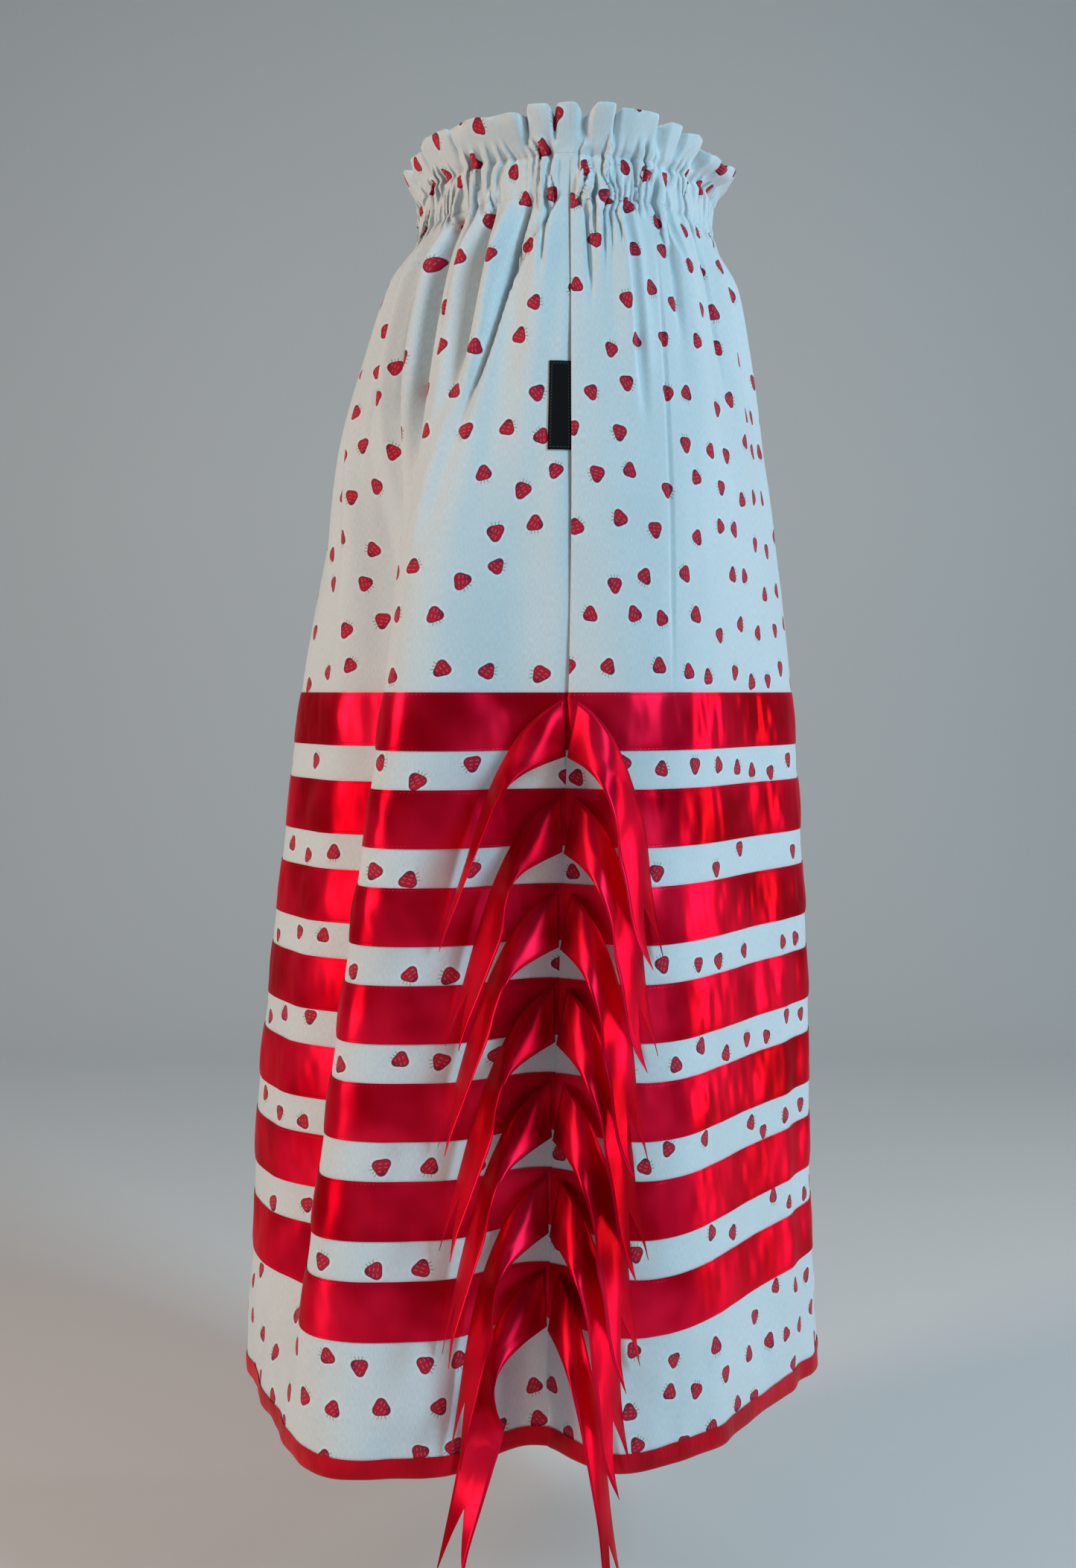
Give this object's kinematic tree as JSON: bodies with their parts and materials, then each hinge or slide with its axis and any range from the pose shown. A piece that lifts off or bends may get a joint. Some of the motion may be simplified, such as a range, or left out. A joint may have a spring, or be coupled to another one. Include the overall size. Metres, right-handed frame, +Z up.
{
  "type": "skirt",
  "caption": "Worn ribbon skirt: hollow flared cloth tube with a gathered elastic waist and ruffle, rows of satin ribbon, hanging ribbon ends at the side seams and a bound hem.",
  "frame": {"origin": "middle of the waist opening, halfway up the elastic casing, where the wearer's waist holds the skirt", "axes": "+Z up along the body, -Y towards the wearer's front, +X towards the wearer's left side"},
  "size_m": [0.5017, 0.4331, 0.9731],
  "materials": {
    "cotton": "white plain-weave cotton, matte, with a small scattered strawberry print",
    "satin": "red polyester satin ribbon with a strong sheen along its folds",
    "binding": "red folded binding with a soft sheen",
    "label": "black woven tab with a stitched edge, bare"
  },
  "bodies": {
    "root": {"panel_front": "cotton", "panel_back": "cotton", "ribbon_front_1": "satin", "ribbon_front_2": "satin", "ribbon_front_3": "satin", "ribbon_front_4": "satin", "ribbon_front_5": "satin", "ribbon_front_6": "satin", "ribbon_front_7": "satin", "ribbon_back_1": "satin", "ribbon_back_2": "satin", "ribbon_back_3": "satin", "ribbon_back_4": "satin", "ribbon_back_5": "satin", "ribbon_back_6": "satin", "ribbon_back_7": "satin", "tail_left_front_1": "satin", "tail_left_front_2": "satin", "tail_left_front_3": "satin", "tail_left_front_4": "satin", "tail_left_front_5": "satin", "tail_left_front_6": "satin", "tail_left_front_7": "satin", "tail_left_back_1": "satin", "tail_left_back_2": "satin", "tail_left_back_3": "satin", "tail_left_back_4": "satin", "tail_left_back_5": "satin", "tail_left_back_6": "satin", "tail_left_back_7": "satin", "tail_right_front_1": "satin", "tail_right_front_2": "satin", "tail_right_front_3": "satin", "tail_right_front_4": "satin", "tail_right_front_5": "satin", "tail_right_front_6": "satin", "tail_right_front_7": "satin", "tail_right_back_1": "satin", "tail_right_back_2": "satin", "tail_right_back_3": "satin", "tail_right_back_4": "satin", "tail_right_back_5": "satin", "tail_right_back_6": "satin", "tail_right_back_7": "satin", "hem_binding_front": "binding", "hem_binding_back": "binding", "label": "label"}
  },
  "joints": []
}
